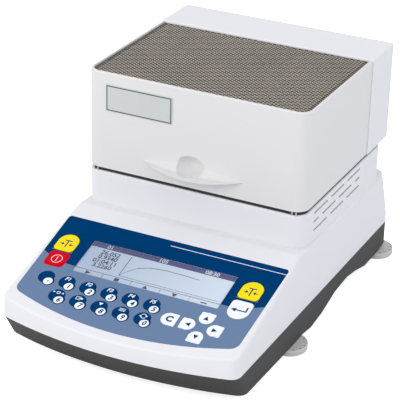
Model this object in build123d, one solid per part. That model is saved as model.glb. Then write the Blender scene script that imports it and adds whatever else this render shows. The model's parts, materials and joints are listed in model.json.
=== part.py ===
# Benchtop moisture analyzer: a weighing base with a sloped keypad, a heating hood on a rear hinge,
# a sample pan on a load cell and four screw feet.
# Millimetres, +Z up, front towards -Y. The origin is the centre of the footprint at bench level.
import math
import os

from build123d import *

os.makedirs("parts", exist_ok=True)

# Overall size and housings
DEPTH = 345.0
HALF_W = 107.5
SPLIT_Z = 32.0
WALL = 3.0
FRONT_BOW = 16.0
REAR_R = 14.0
FRONT_R = 9.0
BAND_TOP = 40.0
CROWN_Z = 92.0
CROWN_FRONT = 106.4
CROWN_REAR = 100.0
SHOULDER_Z = 80.0
CHIN_BACK = 20.0
RIM_R = 2.5

# Sloped control deck, its recess and the keypad layers
DECK_DEG = 15.46
DECK_Y = -52.0
DECK_Z = 78.8
FILM = 0.6
RECESS = 2.6
DECK_WALL = 5.2
PANEL_W = 206.0
PANEL_SIDE = 97.0
PANEL_LEN = 115.5
PANEL_R = 3.0
LCD_W, LCD_H, LCD_V = 134.0, 40.0, -41.5
KEY_CLEAR = 0.35
FLANGE = 0.45
FLANGE_T = 0.5
KEY_PROUD = 0.3
TRAVEL = 0.4
STOP_GAP = 0.1

# Riser under the hood
RISER_W = 102.0
RISER_Y0, RISER_Y1 = -25.8, 152.5
RISER_TOP = 114.0
RISER_R = 12.0
CHAMBER_Y = 44.0
CHAMBER_R = 64.0
VENT_H = 2.0
VENT_LONG, VENT_SHORT = 29.0, 11.0

# Hood
HOOD_W = 102.0
HOOD_Z0, HOOD_TOP = 117.5, 205.0
HOOD_JOIN_Y = 111.9
HOOD_REAR_Y = 163.0
COVER_PROUD = 0.9
HOOD_WALL = 2.5
HINGE_Y, HINGE_Z = 157.0, 119.0
PIN_R = 2.0
RUN_CLEAR = 0.05
HINGE_X = (-70.0, 70.0)

# Feet
FOOT_X, FOOT_Y = 101.5, (-42.5, 156.0)
FOOT_R, FOOT_T = 16.0, 5.5
FOOT_Z = 1.5
STUD_R = 3.0
STUD_TOP = 25.0
BOSS_TOP = 29.5
NOTCHES = 14

# Rear sockets: centre x, centre z, width, height
INLET = (-70.0, 22.5, 28.0, 11.0)
SWITCH = (-38.0, 22.5, 20.0, 11.0)
SERIAL = (60.0, 22.5, 31.0, 11.0)


def save(shape, name):
    export_step(shape, "parts/" + name + ".step")


def box(x0, x1, y0, y1, z0, z1):
    return Pos((x0 + x1) / 2, (y0 + y1) / 2, (z0 + z1) / 2) * Box(x1 - x0, y1 - y0, z1 - z0)


def cyl(x, y, z0, z1, r):
    return Pos(x, y, (z0 + z1) / 2) * Cylinder(r, z1 - z0)


def ring(x, y, z0, z1, r, hole):
    return cyl(x, y, z0, z1, r) - cyl(x, y, z0 - 1, z1 + 1, hole)


def rod_x(x0, x1, y, z, r):
    return Pos((x0 + x1) / 2, y, z) * Rot(0, 90, 0) * Cylinder(r, x1 - x0)


def plan(front_w, rear_w, y_corner, y_rear, front_r, rear_r, bow=FRONT_BOW):
    """Footprint with a bowed front edge and rounded corners."""
    face = make_face(Wire([
        ThreePointArc((-front_w, y_corner), (0, y_corner - bow), (front_w, y_corner)),
        Line((front_w, y_corner), (rear_w, y_rear)),
        Line((rear_w, y_rear), (-rear_w, y_rear)),
        Line((-rear_w, y_rear), (-front_w, y_corner)),
    ]))
    face = fillet(face.vertices().sort_by(Axis.Y)[:2], front_r)
    return fillet(face.vertices().sort_by(Axis.Y)[-2:], rear_r)


def side_solid(points, half=130.0):
    """A profile drawn in Y and Z, extruded across the width."""
    face = make_face(Polyline(*[(0, y, z) for y, z in points], close=True))
    return extrude(face, amount=half, dir=(1, 0, 0), both=True)


Y0 = -DEPTH / 2 + FRONT_BOW
Y1 = DEPTH / 2


def port(spec, y0, y1, grow=0.0):
    x, z, w, h = spec
    return box(x - w / 2 - grow, x + w / 2 + grow, y0, y1, z - h / 2 - grow, z + h / 2 + grow)


# Lower housing: a dark moulded tray with a receding front and a finger arch in each side
UNDER = [(-Y1 - 5, 12.0), (-150, 10.0), (-70, 8.0), (-28, 8.0), (-10, 5.5), (14, 8.0), (42, 15.0),
         (70, 16.5), (92, 13.0), (113, 7.6), (140, 7.6), (Y1 + 5, 12.0)]


def tray(inset, lift):
    w = HALF_W - inset
    top = plan(w, w, Y0 + inset, Y1 - inset, FRONT_R - inset, REAR_R - inset)
    low = plan(w, w, Y0 + CHIN_BACK + inset, Y1 - inset, FRONT_R - inset, REAR_R - inset)
    under = [(-Y1 - 5, -20)] + [(y, z + lift) for y, z in UNDER] + [(Y1 + 5, -20)]
    return loft([low, Pos(0, 0, SPLIT_Z) * top]) - side_solid(under)


FLOOR_Z = 20.0
lower = tray(0, 0) - tray(WALL, WALL)
for sx in (-1, 1):
    for fy in FOOT_Y:
        lower += cyl(sx * FOOT_X, fy, 4, BOSS_TOP, STUD_R + 3) & tray(0, 0)
        lower -= cyl(sx * FOOT_X, fy, -2, STUD_TOP + 1, STUD_R + RUN_CLEAR)
POSTS = [(-80, 20), (80, 20), (-80, 110), (80, 110), (-30, -60), (30, -60)]
for px, py in POSTS:
    lower += cyl(px, py, 9, FLOOR_Z + 4, 4) & tray(0, 0)
CELL_PADS = [(-14, 70), (14, 70), (-14, 96), (14, 96)]
for px, py in CELL_PADS:
    lower += cyl(px, py, 9, FLOOR_Z + 4, 5) & tray(0, 0)
for spec in (INLET, SWITCH, SERIAL):
    lower -= port(spec, Y1 - WALL - 1, Y1 + 1)
save(lower, "lower_housing")

# Control deck frame: x across, v up the slope from the keypad's top edge, n out of the surface
DECK = Location((0, DECK_Y, DECK_Z), (DECK_DEG, 0, 0))


def deck_z(y):
    return DECK_Z + (y - DECK_Y) * math.tan(math.radians(DECK_DEG))


def on_deck(sketch, n0, n1):
    return DECK * Pos(0, 0, n0) * extrude(sketch, amount=n1 - n0)


# Upper housing: a white shell with the sloped deck in front and the riser behind
def shell_form(inset, drop, deck_drop):
    w = HALF_W - inset
    band = plan(w, w, Y0 + inset, Y1 - inset, FRONT_R - inset, REAR_R - inset)
    crown = plan(CROWN_FRONT - inset, CROWN_REAR - inset, Y0 + 3 + inset, Y1 - 3 - inset,
                 FRONT_R - inset, REAR_R - inset)
    body = Pos(0, 0, SPLIT_Z) * extrude(band, amount=BAND_TOP - SPLIT_Z)
    body += loft([Pos(0, 0, BAND_TOP) * band, Pos(0, 0, CROWN_Z) * crown])
    d = deck_drop / math.cos(math.radians(DECK_DEG))
    crest = [(-200, deck_z(-200) - d), (-34, deck_z(-34) - d), (-16, SHOULDER_Z + 3.6 - drop),
             (200, SHOULDER_Z - 1 - drop)]
    return body - side_solid([(-200, 160)] + crest + [(200, 160)])


def riser_form(inset, drop, bottom):
    sketch = RectangleRounded(2 * (RISER_W - inset), RISER_Y1 - RISER_Y0 - 2 * inset, RISER_R - inset)
    return Pos(0, (RISER_Y0 + RISER_Y1) / 2, bottom) * extrude(sketch, amount=RISER_TOP - bottom - drop)


outer = shell_form(0, 0, 0)
crest_edges = [e for e in outer.edges() if e.bounding_box().max.Z > 44.5 and e.length > 9
               and not (e.bounding_box().min.X < -50 and e.bounding_box().max.X > 50
                        and e.center().Y > -60 and e.center().Y < 100)
               and e.bounding_box().min.Z > 44.5]
outer = fillet(crest_edges, RIM_R)
outer += riser_form(0, 0, 60)
outer = fillet([e for e in outer.edges() if e.bounding_box().min.Z > RISER_TOP - 0.1], 1.5)
inner = shell_form(WALL, WALL, DECK_WALL) + riser_form(WALL, WALL, 40)
inner += Pos(0, 0, SPLIT_Z - 2) * extrude(
    plan(HALF_W - WALL, HALF_W - WALL, Y0 + WALL, Y1 - WALL, FRONT_R - WALL, REAR_R - WALL), amount=3)
upper = outer - inner


# Keypad recess and the opening behind the display
def panel(grow):
    """Keypad outline: straight top and sides, a bowed bottom edge, rounded corners."""
    w = PANEL_W / 2 + grow
    face = make_face(Wire([
        Line((-w, grow), (w, grow)),
        Line((w, grow), (w - 2, -PANEL_SIDE)),
        ThreePointArc((w - 2, -PANEL_SIDE), (0, -PANEL_LEN - grow), (2 - w, -PANEL_SIDE)),
        Line((2 - w, -PANEL_SIDE), (-w, grow)),
    ]))
    low = face.vertices().sort_by(Axis.Y)
    face = fillet(low[:2], PANEL_R + 6)
    return fillet(face.vertices().sort_by(Axis.Y)[-2:], PANEL_R)


upper -= on_deck(panel(0.1), -RECESS, 20)
LCD = Pos(0, LCD_V) * Rectangle(LCD_W, LCD_H)
upper -= on_deck(Pos(0, LCD_V) * Rectangle(LCD_W + 2, LCD_H + 2), -20, 1)

# Chamber well and side vents in the riser
upper -= cyl(0, CHAMBER_Y, RISER_TOP - WALL - 1, RISER_TOP + 1, CHAMBER_R)
VENTS = [(109.0, VENT_LONG, (84.0, 47.8, 10.9)), (101.0, VENT_LONG, (65.5, 29.5)),
         (101.0, VENT_SHORT, (93.0, 1.7)), (93.0, VENT_LONG, (83.7, 47.9, 11.0))]
upper -= [box(-RISER_W - 1, RISER_W + 1, y - length / 2, y + length / 2, z - VENT_H / 2, z + VENT_H / 2)
          for z, length, centres in VENTS for y in centres]
upper = upper - box(-200, 200, -200, 200, 0, SPLIT_Z)
save(upper, "upper_housing")

# Keys: centre u, centre v and outline of each
DIGIT_U = [-83.0, -63.4, -43.7, -24.0, -4.3, 15.4]
ROW_1, ROW_2 = -75.6, -92.5


def digit_key():
    return Circle(6.8) + Pos(4.0, -4.0) * Circle(4.9)


def dome_key(w, h, up):
    """Rounded at one end and flat at the other."""
    body = Pos(0, -up * w / 4) * Rectangle(w, h - w / 2) + Pos(0, up * (h - w) / 2) * Circle(w / 2)
    return body


def side_key(w, h):
    return Pos(w / 4, 0) * Rectangle(w / 2, h) + Circle(h / 2) & Pos(0, 0) * Rectangle(w, h)


KEYS = {"key_point": (DIGIT_U[0], ROW_1, digit_key())}
for n in range(5):
    KEYS[f"key_{n + 1}"] = (DIGIT_U[n + 1], ROW_1, digit_key())
for n, label in enumerate((6, 7, 8, 9, 0)):
    KEYS[f"key_{label}"] = (DIGIT_U[n + 1], ROW_2, digit_key())
KEYS["key_tare_left"] = (-87.0, -32.5, dome_key(18.5, 20.5, 1))
KEYS["key_power"] = (-85.8, -53.4, Circle(8.8))
KEYS["key_tare_right"] = (84.4, -33.4, dome_key(18.5, 20.5, 1))
KEYS["key_enter"] = (84.2, -57.0, dome_key(18.5, 20.5, -1))
KEYS["key_clear"] = (36.0, -85.6, side_key(13.6, 13.6))
KEYS["key_left"] = (52.4, -85.6, Circle(6.3))
KEYS["key_down"] = (64.7, -96.8, Circle(6.3))
KEYS["key_up"] = (64.0, -74.6, Circle(6.3))
KEYS["key_right"] = (76.0, -85.2, Circle(6.3))

film = panel(0) - LCD
spacer = panel(0) - Pos(0, LCD_V) * Rectangle(LCD_W + 6.2, LCD_H + 6.2)
overlay = on_deck(film, -FILM, 0)
circuit = on_deck(spacer, -RECESS, -FILM)
KEY_TOP = -FILM - STOP_GAP
POCKET = KEY_TOP - FLANGE_T - TRAVEL - STOP_GAP
for name, (u, v, outline) in KEYS.items():
    place = Pos(u, v)
    flange = offset(outline, FLANGE)
    key = on_deck(place * flange, KEY_TOP - FLANGE_T, KEY_TOP) + on_deck(place * outline, KEY_TOP - 0.1, KEY_PROUD)
    save(key, name)
    overlay -= on_deck(place * offset(outline, KEY_CLEAR), -FILM - 1, 1)
    circuit -= on_deck(place * offset(outline, FLANGE + 0.32), POCKET, 1)
save(overlay, "keypad_overlay")
save(circuit, "keypad_circuit")
save(on_deck(Pos(0, LCD_V) * Rectangle(LCD_W + 6, LCD_H + 6), -RECESS, -FILM), "display_window")
lcd = on_deck(Pos(0, LCD_V) * Rectangle(LCD_W + 1, LCD_H + 1), -DECK_WALL - 1, -RECESS - 0.05)
lcd += on_deck(Pos(0, LCD_V) * Rectangle(LCD_W + 16, LCD_H + 14), -DECK_WALL - 4, -DECK_WALL)
save(lcd, "lcd_module")

# Electronics on posts, mains inlet, rocker switch and serial socket
board = box(-90, 90, -80, 28, FLOOR_Z + 4, FLOOR_Z + 5.6)
board -= cyl(0, 20, FLOOR_Z, FLOOR_Z + 9, 6)
board += box(-30, -8, -50, -28, FLOOR_Z + 5.6, FLOOR_Z + 8) + box(20, 70, -60, -52, FLOOR_Z + 5.6, FLOOR_Z + 12)
save(board, "main_board")
supply = box(-92, -26, 66, 128, FLOOR_Z + 4, FLOOR_Z + 5.6) + box(-88, -58, 72, 112, FLOOR_Z + 5.6, FLOOR_Z + 30)
for k in range(3):
    supply += cyl(-44, 78 + 17 * k, FLOOR_Z + 5.6, FLOOR_Z + 26, 7)
save(supply, "power_supply")

FLANGE_Y = Y1
inlet = port(INLET, Y1 - 22, Y1 - WALL, 0) + port(INLET, Y1 - WALL - 0.1, Y1, 0)
inlet += port(INLET, Y1 - 22, Y1 - WALL, 2)
inlet -= port((INLET[0], INLET[1], 24, 8), Y1 - 18, Y1 + 1)
for dx in (-7, 0, 7):
    inlet += box(INLET[0] + dx - 1, INLET[0] + dx + 1, Y1 - 18.5, Y1 - 5, INLET[1] - 2, INLET[1] + 2)
save(inlet, "power_inlet")
serial = port(SERIAL, Y1 - 12, Y1) + port(SERIAL, Y1 - 12, Y1 - WALL, 2)
serial -= port((SERIAL[0], SERIAL[1], 27, 7.6), Y1 - 6, Y1 + 1)
serial += port((SERIAL[0], SERIAL[1], 17, 6.0), Y1 - 7, Y1 - 1)
save(serial, "serial_socket")
frame = port(SWITCH, Y1 - 14, Y1) + port(SWITCH, Y1 - 14, Y1 - WALL, 2)
frame -= port((SWITCH[0], SWITCH[1], 16.4, 8.4), Y1 - 12, Y1 + 1)
ROCK_Y = Y1 - 5.6
frame += rod_x(SWITCH[0] - 9, SWITCH[0] + 9, ROCK_Y, SWITCH[1], 1.0)
save(frame, "switch_frame")
rocker_face = make_face(Polyline((0, ROCK_Y - 4, -2.6), (0, ROCK_Y + 3.6, -3.4), (0, ROCK_Y + 2.2, 0),
                                 (0, ROCK_Y + 5.4, 3.2), (0, ROCK_Y - 4, 2.6), close=True))
rocker = Pos(SWITCH[0], 0, SWITCH[1]) * extrude(rocker_face, amount=7.9, dir=(1, 0, 0), both=True)
rocker -= rod_x(SWITCH[0] - 9, SWITCH[0] + 9, ROCK_Y, SWITCH[1], 1.0 + RUN_CLEAR)
save(rocker, "power_rocker")

# Load cell under the chamber, its foot, and the spindle that carries the pan
foot = box(-22, 22, 62, 104, FLOOR_Z + 4, FLOOR_Z + 9) + box(-15, 15, 78, 104, FLOOR_Z + 9, FLOOR_Z + 20)
save(foot, "load_cell_bracket")
BEAM_Z = FLOOR_Z + 20
beam = box(-15, 15, 30, 104, BEAM_Z, BEAM_Z + 24)
beam -= box(-20, 20, 50, 84, BEAM_Z + 7, BEAM_Z + 17)
beam -= rod_x(-20, 20, 50, BEAM_Z + 12, 5) + rod_x(-20, 20, 84, BEAM_Z + 12, 5)
save(beam, "load_cell")
FLOOR_TOP = 108.0
spindle = cyl(0, CHAMBER_Y, BEAM_Z + 24, BEAM_Z + 30, 11) + cyl(0, CHAMBER_Y, BEAM_Z + 30, 116, 3)
save(spindle, "pan_spindle")
arms = cyl(0, CHAMBER_Y, 114.5, 117.5, 8) - cyl(0, CHAMBER_Y, 114, 116, 3.0)
for a in (30, 150, 270):
    arms += Pos(0, CHAMBER_Y) * Rot(0, 0, a) * (box(4, 40, -3, 3, 115.5, 117.5) + box(37, 40, -3, 3, 117.5, 119))
save(arms, "pan_support")
dish = ring(0, CHAMBER_Y, RISER_TOP, RISER_TOP + 1.2, CHAMBER_R + 6, CHAMBER_R - 2)
dish += ring(0, CHAMBER_Y, FLOOR_TOP, RISER_TOP + 1.2, CHAMBER_R - 0.5, CHAMBER_R - 2)
dish += ring(0, CHAMBER_Y, FLOOR_TOP, FLOOR_TOP + 1.5, CHAMBER_R - 0.5, 6)
save(dish, "chamber_floor")
shield = ring(0, CHAMBER_Y, FLOOR_TOP + 1.5, 121, 56, 54.5)
save(shield, "heat_shield_ring")
level = cyl(80, 0, RISER_TOP, RISER_TOP + 2, 8) - cyl(80, 0, RISER_TOP + 0.5, RISER_TOP + 3, 6.5)
level += cyl(80, 0, RISER_TOP + 0.4, RISER_TOP + 1.6, 6.5)
save(level, "bubble_level")

# Sample pan and the gripper that lifts it
PAN_Z = 119.0
pan = cyl(0, CHAMBER_Y, PAN_Z, PAN_Z + 6, 46) - cyl(0, CHAMBER_Y, PAN_Z + 0.6, PAN_Z + 7, 45.2)
pan += ring(0, CHAMBER_Y, PAN_Z + 5.2, PAN_Z + 6, 49, 45.2)
save(pan, "sample_pan")
grip = ring(0, CHAMBER_Y, PAN_Z + 3.6, PAN_Z + 5.2, 51, 46.2)
grip += box(-9, 9, -9, CHAMBER_Y - 46.6, PAN_Z + 3.6, PAN_Z + 5.2) + box(-9, 9, -11, -9, PAN_Z + 3.6, PAN_Z + 12)
save(grip, "pan_gripper")

# Hinge brackets on the riser's rear wall, with their pins
brackets = None
for hx in HINGE_X:
    part = box(hx - 12, hx + 12, RISER_Y1, RISER_Y1 + 2, 98, 112)
    for ex in (hx - 9, hx + 9):
        ear = box(ex - 1.5, ex + 1.5, RISER_Y1, HINGE_Y + 1, 104, HINGE_Z)
        ear += rod_x(ex - 1.5, ex + 1.5, HINGE_Y, HINGE_Z, 3.8)
        part += ear
    part += rod_x(hx - 10.5, hx + 10.5, HINGE_Y, HINGE_Z, PIN_R)
    part -= box(hx - 20, hx + 20, RISER_Y1 - 9, RISER_Y1, 90, 130)
    brackets = part if brackets is None else brackets + part
save(brackets, "hinge_brackets")


# Hood: front shell with the crescent handle, rear cover with the hinge lugs, metal grille
def hood_outline(w, y0, y1, r_front, r_rear):
    face = make_face(Polyline((-w, y0), (w, y0), (w, y1), (-w, y1), close=True))
    if r_front:
        face = fillet(face.vertices().sort_by(Axis.Y)[:2], r_front)
    if r_rear:
        face = fillet(face.vertices().sort_by(Axis.Y)[-2:], r_rear)
    return face


def prism(face, z0, z1):
    return Pos(0, 0, z0) * extrude(face, amount=z1 - z0)


GRILLE_T = 1.2
GRILLE_DROP = 1.4
HY0 = RISER_Y0
shell = prism(hood_outline(HOOD_W, HY0, HOOD_JOIN_Y, RISER_R, 0), HOOD_Z0, HOOD_TOP)
shell = fillet([e for e in shell.edges() if e.bounding_box().min.Z > HOOD_TOP - 0.1
                and e.center().Y < HOOD_JOIN_Y - 1], 1.2)
shell -= prism(hood_outline(HOOD_W - HOOD_WALL, HY0 + HOOD_WALL, HOOD_JOIN_Y + 5, RISER_R - HOOD_WALL, 0),
               HOOD_Z0 - 1, HOOD_TOP + 1)
# Ledge that carries the grille
LEDGE_Z = HOOD_TOP - GRILLE_DROP - GRILLE_T
ledge = prism(hood_outline(HOOD_W - HOOD_WALL + 0.1, HY0 + HOOD_WALL - 0.1, HOOD_JOIN_Y, RISER_R - HOOD_WALL, 0),
              LEDGE_Z - 2, LEDGE_Z)
ledge -= prism(hood_outline(HOOD_W - 9, HY0 + 9, HOOD_JOIN_Y - 8, 4, 4), LEDGE_Z - 3, LEDGE_Z + 1)
shell += ledge
shell += box(-HOOD_W + 1, HOOD_W - 1, HOOD_JOIN_Y - 2.5, HOOD_JOIN_Y, LEDGE_Z - 14, LEDGE_Z)

# Handle: a lens-shaped lip with a thin rim, and a finger scoop that runs down into it
HANDLE_HALF, HANDLE_OUT = 46.5, 12.5
HANDLE_Z, HANDLE_T = 129.0, 4.2
HANDLE_TIP_RISE = 3.4


def lens(half, out, back):
    return make_face(Wire([
        ThreePointArc((-half, HY0), (0, HY0 - out), (half, HY0)),
        Line((half, HY0), (half, HY0 + back)), Line((half, HY0 + back), (-half, HY0 + back)),
        Line((-half, HY0 + back), (-half, HY0)),
    ]))


lip = prism(lens(HANDLE_HALF, HANDLE_OUT, 1.2), HANDLE_Z, HANDLE_Z + HANDLE_T)
crown_arc = make_face(Wire([
    ThreePointArc((-60, HANDLE_Z + 6.5), (0, HANDLE_Z + 2.2), (60, HANDLE_Z + 6.5)),
    Line((60, HANDLE_Z + 6.5), (60, HANDLE_Z + 20)), Line((60, HANDLE_Z + 20), (-60, HANDLE_Z + 20)),
    Line((-60, HANDLE_Z + 20), (-60, HANDLE_Z + 6.5)),
]))
lip = prism(lens(HANDLE_HALF, HANDLE_OUT, 1.2), HANDLE_Z - 2, HANDLE_Z + 8)
SECTION = Plane(origin=(0, HY0 - 30, 0), x_dir=(1, 0, 0), z_dir=(0, -1, 0))
sag = make_face(Wire([
    ThreePointArc((-HANDLE_HALF, HANDLE_Z + HANDLE_T), (0, HANDLE_Z), (HANDLE_HALF, HANDLE_Z + HANDLE_T)),
    ThreePointArc((HANDLE_HALF, HANDLE_Z + HANDLE_T), (0, HANDLE_Z + 3.4), (-HANDLE_HALF, HANDLE_Z + HANDLE_T)),
]))
lip = lip & extrude(SECTION * sag, amount=-60)
scoop_top = 138.5
scoop = loft([
    Plane(origin=(0, HY0 - HANDLE_OUT + 1.5, HANDLE_Z + 2.0)) * Pos(-1.5, 0) * Rectangle(26, 0.8),
    Plane(origin=(0, HY0 + 0.4, scoop_top)) * Pos(-1.5, 0) * Rectangle(28, 0.8),
])
wedge = side_solid([(HY0 - HANDLE_OUT + 1.2, HANDLE_Z + 1.6), (HY0 + 1.2, scoop_top), (HY0 + 1.2, HANDLE_Z + 1.6)], 14)
wedge = wedge - Pos(0, HY0 - 16.5, scoop_top + 4.5) * Rot(0, 90, 0) * Cylinder(18.0, 60)
shell += lip + wedge
save(shell, "hood_shell")

CW = HOOD_W + COVER_PROUD
CT = HOOD_TOP + 0.6
cover = prism(hood_outline(CW, HOOD_JOIN_Y, HOOD_REAR_Y, 0, 4), HOOD_Z0, CT)
cover = fillet([e for e in cover.edges() if e.bounding_box().min.Z > CT - 0.1], 1.5)
cover -= prism(hood_outline(CW - HOOD_WALL, HOOD_JOIN_Y - 5, HOOD_REAR_Y - HOOD_WALL, 0, 2), HOOD_Z0 - 1, CT - HOOD_WALL)
for hx in HINGE_X:
    cover -= box(hx - 12, hx + 12, HOOD_REAR_Y - HOOD_WALL - 1, HOOD_REAR_Y + 1, HOOD_Z0 - 1, 126)
    lug = box(hx - 6.5, hx + 6.5, HINGE_Y - 3, HINGE_Y + 3, HINGE_Z, 134)
    lug += box(hx - 6.5, hx + 6.5, HINGE_Y - 3, HOOD_REAR_Y - 1, 127.5, 134)
    lug += rod_x(hx - 6.5, hx + 6.5, HINGE_Y, HINGE_Z, 3.6)
    cover += lug
    cover -= rod_x(hx - 7, hx + 7, HINGE_Y, HINGE_Z, PIN_R + RUN_CLEAR)
save(cover, "hood_rear_cover")

GX = HOOD_W - HOOD_WALL - 0.1
grille = prism(hood_outline(GX, HY0 + HOOD_WALL + 0.1, HOOD_JOIN_Y, RISER_R - HOOD_WALL - 0.1, 0), LEDGE_Z, LEDGE_Z + GRILLE_T)
SLOTS_X, SLOTS_Y, SLOT_W = 14, 8, 4.0
for i in range(SLOTS_X):
    for j in range(SLOTS_Y):
        x = (i - (SLOTS_X - 1) / 2) * 12.6
        y = HY0 + 16 + j * 14.6
        grille -= box(x - 4.9, x + 4.9, y - 5.4, y + 5.4, LEDGE_Z - 1, LEDGE_Z + 3)
save(grille, "hood_grille")

# Inside the hood: reflector, two lamps in their sockets, temperature probe, stops, name plate blank
REF_Z = 178.0
reflector = prism(hood_outline(90, HY0 + 6, 106, 6, 6), REF_Z - 22, REF_Z)
reflector -= prism(hood_outline(89, HY0 + 7, 105, 5, 5), REF_Z - 23, REF_Z - 1)
for k in range(5):
    reflector -= box(-60, 60, HY0 + 22 + 22 * k, HY0 + 26 + 22 * k, REF_Z - 2, REF_Z + 1)
for tx in (-1, 1):
    reflector += box(tx * 89.5 - 0.5, tx * 89.5 + 0.5, 20, 60, REF_Z - 22, REF_Z - 1)
    reflector += box(min(tx * 89.6, tx * (HOOD_W - HOOD_WALL)), max(tx * 89.6, tx * (HOOD_W - HOOD_WALL)),
                     20, 60, REF_Z - 8, REF_Z - 6)
save(reflector, "reflector")
LAMP_Z = REF_Z - 12
LAMP_YS = (8.0, 76.0)
lamps = None
sockets = None
for ly in LAMP_YS:
    tube = rod_x(-62, 62, ly, LAMP_Z, 5) + rod_x(-70, -62, ly, LAMP_Z, 3.5) + rod_x(62, 70, ly, LAMP_Z, 3.5)
    ends = box(-82, -70, ly - 7, ly + 7, LAMP_Z - 8, REF_Z - 1) + box(70, 82, ly - 7, ly + 7, LAMP_Z - 8, REF_Z - 1)
    lamps = tube if lamps is None else lamps + tube
    sockets = ends if sockets is None else sockets + ends
save(lamps, "halogen_lamps")
save(sockets, "lamp_sockets")
probe = cyl(0, CHAMBER_Y, LAMP_Z - 16, REF_Z - 1, 2.0) + cyl(0, CHAMBER_Y, REF_Z - 6, REF_Z - 1, 5)
save(probe, "temperature_probe")
stops = None
for bx in (-86, 86):
    stop = cyl(bx, HY0 + HOOD_WALL + 4.5, RISER_TOP + 0.02, 126, 2.6) + box(
        bx - 2.6, bx + 2.6, HY0 + HOOD_WALL, HY0 + HOOD_WALL + 4.5, 119, 126)
    stops = stop if stops is None else stops + stop
save(stops, "front_stops")
plate = box(-82.2, -20, HY0 - 0.8, HY0, 171.4, 194.9)
save(plate, "name_plate")

# Feet: a rubber pad on the bench and a knurled wheel with a screw stud above it
notch = [Pos(FOOT_R * math.cos(a), FOOT_R * math.sin(a)) * Circle(1.3)
         for a in (2 * math.pi * k / NOTCHES for k in range(NOTCHES))]
wheel_outline = Circle(FOOT_R)
for cut in notch:
    wheel_outline -= cut
wheel = prism(wheel_outline, FOOT_Z, FOOT_Z + FOOT_T) + cyl(0, 0, FOOT_Z + 1, STUD_TOP, STUD_R)
wheel -= cyl(0, 0, FOOT_Z - 1, FOOT_Z + 1.5, 10.06)
pad = cyl(0, 0, 0, FOOT_Z + 1.5, 10.0)
for label, sx, fy in (("front_left", -1, FOOT_Y[0]), ("front_right", 1, FOOT_Y[0]),
                      ("rear_left", -1, FOOT_Y[1]), ("rear_right", 1, FOOT_Y[1])):
    spot = Pos(sx * FOOT_X, fy, 0)
    save(spot * wheel, "foot_wheel_" + label)
    save(spot * pad, "foot_pad_" + label)
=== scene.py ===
"""Looks of a benchtop moisture analyzer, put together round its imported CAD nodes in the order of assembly.
Blender's unit is the metre; lengths are written in millimetres, which MM turns into metres. Front is -Y
and up is +Z."""
import json
import math

import bmesh
import bpy
from mathutils import Matrix, Vector

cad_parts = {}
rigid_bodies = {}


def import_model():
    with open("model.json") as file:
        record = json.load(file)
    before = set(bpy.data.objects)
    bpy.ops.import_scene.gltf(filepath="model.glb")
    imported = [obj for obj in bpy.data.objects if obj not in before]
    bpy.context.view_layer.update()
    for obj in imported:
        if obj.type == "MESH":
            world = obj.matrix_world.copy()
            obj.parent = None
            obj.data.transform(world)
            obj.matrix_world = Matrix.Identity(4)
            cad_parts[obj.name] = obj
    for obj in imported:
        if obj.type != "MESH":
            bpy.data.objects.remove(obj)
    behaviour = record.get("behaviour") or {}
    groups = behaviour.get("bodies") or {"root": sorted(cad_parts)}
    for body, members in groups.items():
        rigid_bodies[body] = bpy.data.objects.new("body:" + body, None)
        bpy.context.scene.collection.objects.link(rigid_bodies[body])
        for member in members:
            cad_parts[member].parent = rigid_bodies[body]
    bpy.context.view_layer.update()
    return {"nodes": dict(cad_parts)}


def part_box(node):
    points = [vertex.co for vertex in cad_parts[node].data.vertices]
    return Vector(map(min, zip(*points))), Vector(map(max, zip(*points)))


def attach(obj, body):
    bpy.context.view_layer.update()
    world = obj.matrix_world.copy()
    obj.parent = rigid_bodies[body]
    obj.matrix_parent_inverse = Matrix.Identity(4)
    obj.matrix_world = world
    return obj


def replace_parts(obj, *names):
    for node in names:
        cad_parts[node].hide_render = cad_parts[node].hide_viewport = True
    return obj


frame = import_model()
nodes = frame["nodes"]

# Lower housing: a charcoal tray moulded in tough plastic with a fine spark-eroded texture.
# It carries the electronics and the feet, and screws up into the white housing from below.
MM = 0.001
MOTTLE_SCALE, MOTTLE_DETAIL, GRAIN_DETAIL, GRAIN_DEPTH, GLOSS_SPREAD = 14.0, 4.0, 2.0, 0.1 * MM, 0.06
scene_objects = bpy.context.scene.collection.objects


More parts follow.
